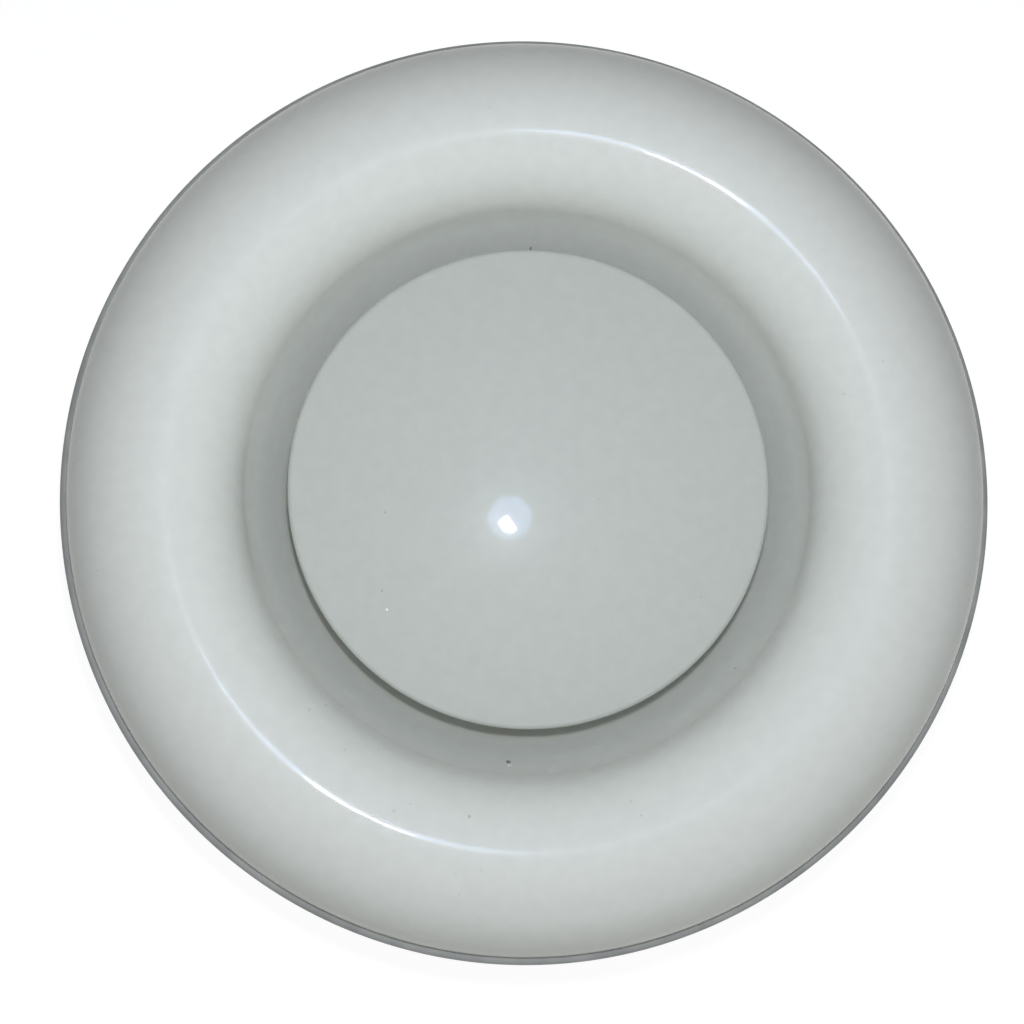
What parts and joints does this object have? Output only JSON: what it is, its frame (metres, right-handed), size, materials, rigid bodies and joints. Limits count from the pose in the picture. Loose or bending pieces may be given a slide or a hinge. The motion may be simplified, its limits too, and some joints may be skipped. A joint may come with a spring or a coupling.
{
  "type": "extract air valve",
  "caption": "Round white enamelled steel extract air valve: bell-mouth ring, domed disc on a threaded spindle that screws in and out of a conical seat, and a galvanised bayonet duct collar.",
  "frame": {"origin": "on the valve's axis in the plane of the wall or ceiling, which is the rear face of the collar's flange", "axes": "+Z along the axis out of the wall into the room, +X along the crossbar; the part stands face up on the rear end of its collar"},
  "size_m": [0.164, 0.164, 0.0664],
  "materials": {
    "white_enamel": "glossy white baked enamel on pressed steel",
    "disc_enamel": "glossy white baked enamel, a touch greyer than the ring",
    "zinc_plate": "bright zinc-plated steel",
    "rivet_steel": "plain steel rivets",
    "spring_steel": "oiled spring steel",
    "foam": "matt closed-cell foam",
    "galvanised": "hot-dip galvanised steel with a faint spangle"
  },
  "bodies": {
    "collar": {"mounting_ring": "galvanised"},
    "valve_body": {"valve_ring": "white_enamel", "crossbar": "zinc_plate", "crossbar_rivets": "rivet_steel", "threaded_bush": "zinc_plate", "rim_gasket": "foam"},
    "stop": {"stop_ring": "spring_steel"},
    "disc": {"valve_disc": "disc_enamel", "disc_hub": "zinc_plate", "spindle": "zinc_plate"},
    "washer": {"lock_washer": "zinc_plate"},
    "nut": {"lock_nut": "zinc_plate"}
  },
  "joints": [
    {"name": "bayonet_turn", "type": "hinge", "parent": "collar", "child": "valve_body", "pos_m": [0, 0, 0], "axis": [0, 0, 1], "range_deg": [0, 24]},
    {"name": "disc_travel", "type": "slide", "parent": "valve_body", "child": "stop", "axis": [0, 0, 1], "range_m": [-0.0211, 0.0111]},
    {"name": "disc_turn", "type": "hinge", "parent": "stop", "child": "disc", "pos_m": [0, 0, 0], "axis": [0, 0, 1], "range_deg": [-6048, 3168]},
    {"name": "nut_travel", "type": "slide", "parent": "valve_body", "child": "washer", "axis": [0, 0, 1], "range_m": [-0.0026, 0]},
    {"name": "nut_turn", "type": "hinge", "parent": "washer", "child": "nut", "pos_m": [0, 0, 0], "axis": [0, 0, 1], "range_deg": [-720, 0]}
  ],
  "couplings": [
    {"joint": "disc_travel", "follows": "disc_turn", "m_per_rad": 0.00019894},
    {"joint": "nut_travel", "follows": "nut_turn", "m_per_rad": 0.00019894}
  ]
}
